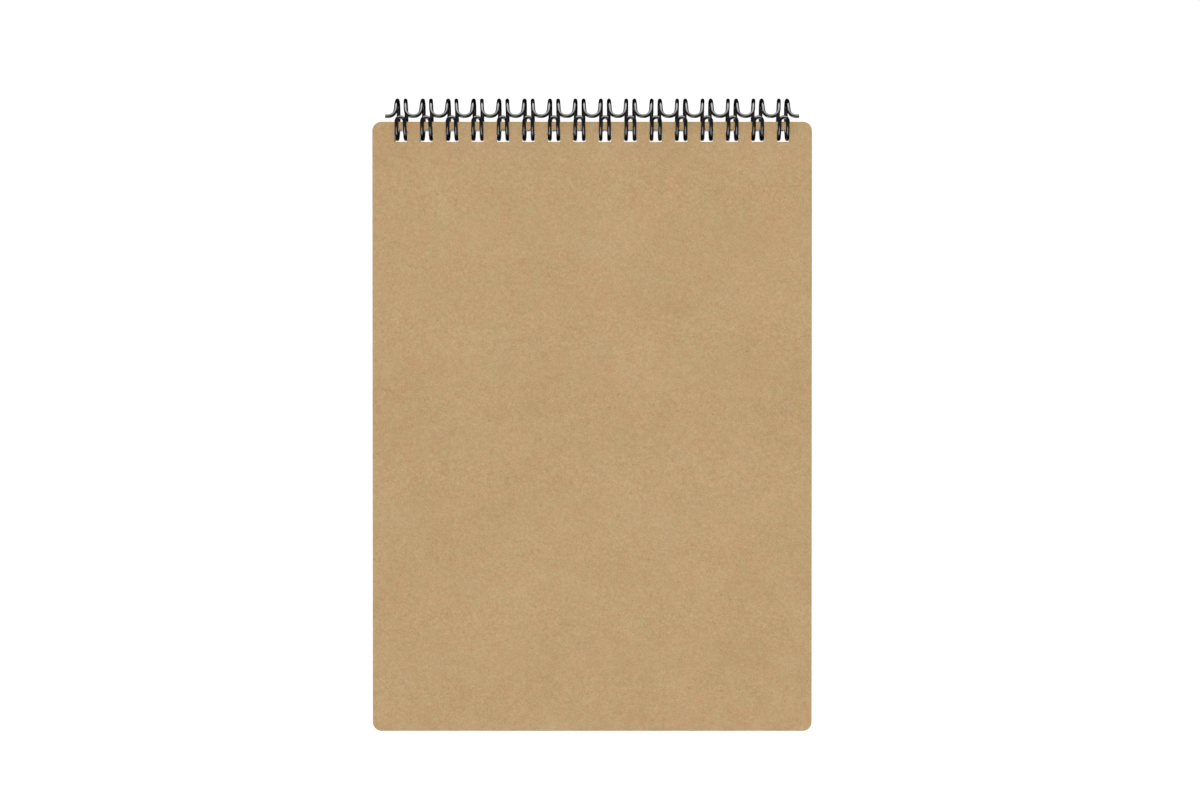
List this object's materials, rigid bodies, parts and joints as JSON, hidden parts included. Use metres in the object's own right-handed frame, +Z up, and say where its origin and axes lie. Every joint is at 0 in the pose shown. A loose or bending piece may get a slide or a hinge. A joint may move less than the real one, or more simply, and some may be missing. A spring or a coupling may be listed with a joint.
{
  "type": "wire-bound notebook",
  "caption": "Top-bound notebook with kraft card covers, rounded corners and a black twin-loop wire along its short edge.",
  "frame": {"origin": "on the table, under the middle of the notebook as it lies on its back cover", "axes": "+X to the right along the binding, +Y up the page towards the wire, +Z up out of the front cover"},
  "size_m": [0.146, 0.2106, 0.0143],
  "materials": {
    "kraft_card": "matte",
    "page_paper": "matte",
    "kraft_board": "matte",
    "coated_wire": "gloss"
  },
  "bodies": {
    "pages": {"page_block": "page_paper"},
    "front_cover": {"front_cover": "kraft_card"},
    "back_cover": {"back_cover": "kraft_board"},
    "wire": {"twin_wire": "coated_wire"}
  },
  "joints": [
    {"name": "front_cover_hinge", "type": "hinge", "parent": "pages", "child": "front_cover", "pos_m": [0, 0.09818, 0.00707], "axis": [-1, 0, 0], "range_deg": [0, 180]},
    {"name": "back_cover_hinge", "type": "hinge", "parent": "pages", "child": "back_cover", "pos_m": [0, 0.09818, 0.00707], "axis": [1, 0, 0], "range_deg": [0, 22]},
    {"name": "wire_turn", "type": "hinge", "parent": "pages", "child": "wire", "pos_m": [0, 0.09818, 0.00707], "axis": [-1, 0, 0], "range_deg": [0, 135]}
  ],
  "couplings": [
    {"joint": "wire_turn", "follows": "front_cover_hinge", "ratio": 0.75}
  ]
}
